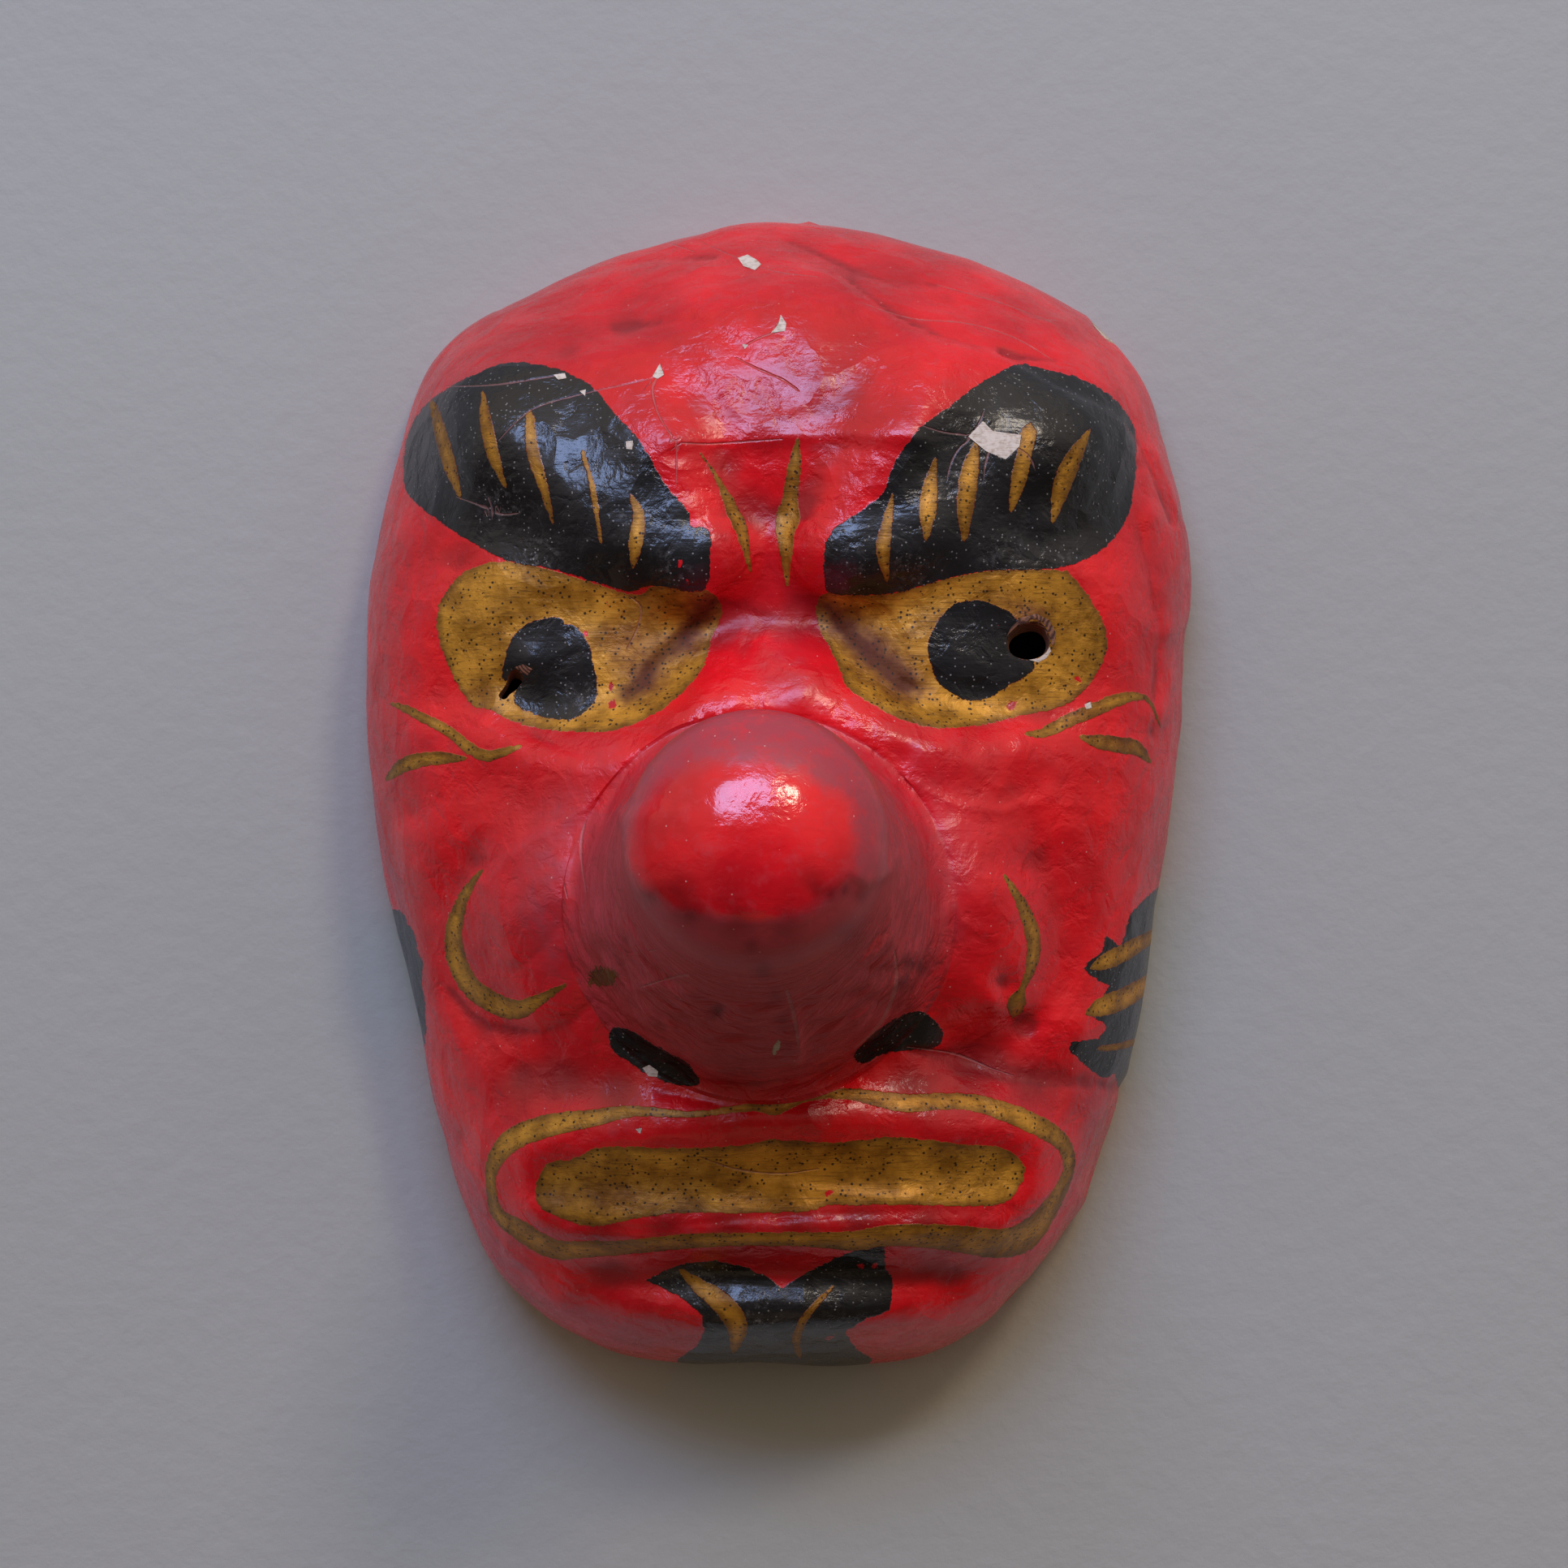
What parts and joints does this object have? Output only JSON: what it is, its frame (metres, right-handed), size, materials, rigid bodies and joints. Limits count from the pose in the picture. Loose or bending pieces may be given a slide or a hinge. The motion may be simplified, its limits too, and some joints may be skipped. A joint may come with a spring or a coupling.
{
  "type": "papier-mache tengu mask",
  "caption": "Hollow red papier-mache tengu mask with a long raised nose, heavy brows, bulging pierced eyes and a turned-down mouth, open at the back.",
  "frame": {"origin": "middle of the rim's box, on the plane that the rim lies on", "axes": "+Z out of the face, along the nose; +Y towards the crown; +X towards the right of someone who looks at the face"},
  "size_m": [0.164, 0.229, 0.1547],
  "materials": {
    "red_painted_paper": "gloss paint over pasted paper"
  },
  "bodies": {
    "root": {"mask_shell": "red_painted_paper"}
  },
  "joints": []
}
